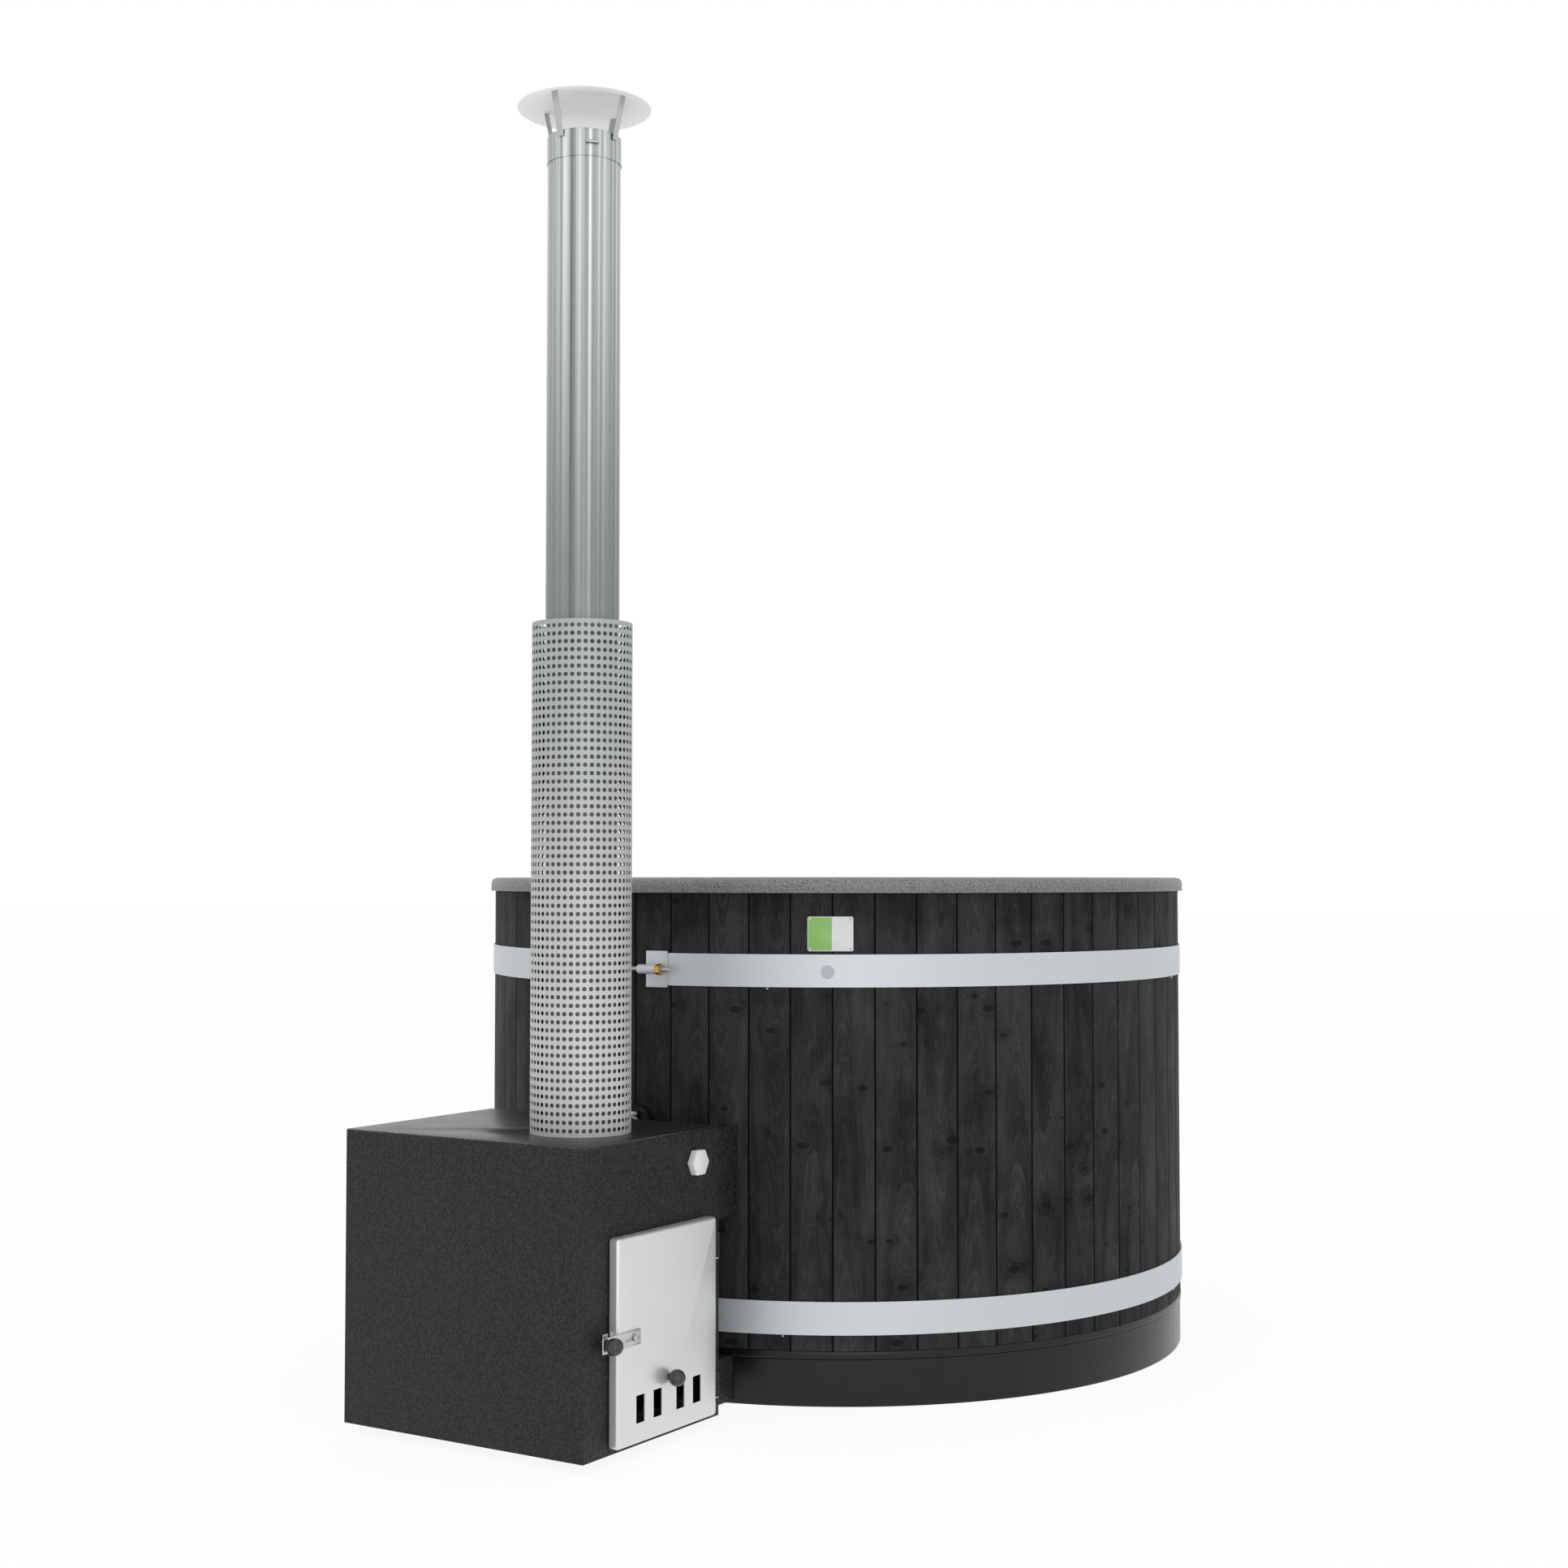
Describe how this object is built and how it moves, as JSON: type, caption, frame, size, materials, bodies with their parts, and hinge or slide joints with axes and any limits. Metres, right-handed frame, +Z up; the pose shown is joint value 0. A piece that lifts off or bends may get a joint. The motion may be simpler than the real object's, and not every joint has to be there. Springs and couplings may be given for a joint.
{
  "type": "wooden hot tub",
  "caption": "Round stave hot tub with a moulded basin, a wood-fired heater beside it with a hinged fire door and a capped flue.",
  "frame": {"origin": "on the ground, on the tub's axis", "axes": "+Z up, -Y towards the heater, +X to the side that the fire door faces"},
  "size_m": [1.7478, 2.3563, 2.768],
  "materials": {
    "speckled_liner": "moulded, fine dark and light speckles",
    "stained_wood": "dark grey-black stain with grain and knots",
    "raw_wood": "planed, untreated",
    "black_plastic": "satin",
    "band_metal": "satin, bluish grey",
    "zinc_steel": "zinc plated",
    "brass": "turned",
    "steel": "brushed stainless",
    "polished_steel": "polished stainless",
    "clamp_chrome": "bright plated",
    "guard_metal": "matt pale grey sheet",
    "hose_rubber": "matt",
    "textured_black": "coarse textured powder coat",
    "top_black": "smooth satin black",
    "tank_metal": "mill finish",
    "cast_iron": "as cast",
    "wool": "mineral fibre",
    "knob_black": "glossy phenolic"
  },
  "bodies": {
    "tub": {"liner": "speckled_liner", "bench": "speckled_liner", "foot_well": "speckled_liner", "staves": "stained_wood", "inlet_staves": "stained_wood", "base_skirt": "black_plastic", "base_board": "black_plastic", "floor_joists": "raw_wood", "floor_board": "raw_wood", "bench_props": "raw_wood", "upper_band": "band_metal", "lower_band": "band_metal", "band_lugs": "band_metal", "tension_rods": "zinc_steel", "tension_nuts": "brass", "band_nails": "zinc_steel", "inlet_fitting": "black_plastic", "inlet_nut": "black_plastic", "inlet_strainer": "steel", "outlet_pipe": "black_plastic", "outlet_strainer": "steel", "drain_pipe": "black_plastic", "hoses": "hose_rubber", "hose_clamps": "clamp_chrome", "clamp_screws": "clamp_chrome", "casing": "textured_black", "heater_top": "top_black", "heater_feet": "top_black", "water_tank": "tank_metal", "firebox": "tank_metal", "front_plate": "tank_metal", "baffle": "tank_metal", "grate": "cast_iron", "grate_rests": "tank_metal", "heater_plug": "steel", "upper_shroud": "textured_black", "lower_shroud": "textured_black", "flue_lower": "polished_steel", "flue_upper": "polished_steel", "heat_guard": "guard_metal", "guard_brackets": "zinc_steel", "cap_collar": "polished_steel", "collar_bolt": "zinc_steel", "cap_straps": "steel", "rain_cap": "guard_metal", "hinge_brackets": "textured_black", "hinge_pins": "zinc_steel", "latch_keeper": "steel"},
    "door": {"door_shell": "steel", "door_inner": "steel", "door_insulation": "wool", "door_gasket": "wool", "damper_guides": "zinc_steel", "door_knuckles": "textured_black", "latch_pivot": "zinc_steel"},
    "latch": {"latch_lever": "steel", "latch_knob": "knob_black"},
    "damper": {"damper_plate": "steel", "damper_knob": "knob_black"},
    "plug": {"drain_plug": "hose_rubber"}
  },
  "joints": [
    {"name": "door_hinge", "type": "hinge", "parent": "tub", "child": "door", "pos_m": [0.32085, -1.01994, 0.2], "axis": [0, 0, 1], "range_deg": [0, 110]},
    {"name": "latch_lift", "type": "hinge", "parent": "door", "child": "latch", "pos_m": [0.333, -1.32194, 0.24], "axis": [-1, 0, 0], "range_deg": [0, 30]},
    {"name": "damper_slide", "type": "slide", "parent": "door", "child": "damper", "axis": [0, 1, 0], "range_m": [0, 0.029]},
    {"name": "plug_lift", "type": "slide", "parent": "tub", "child": "plug", "axis": [0, 0, 1], "range_m": [0, 0.02]}
  ]
}
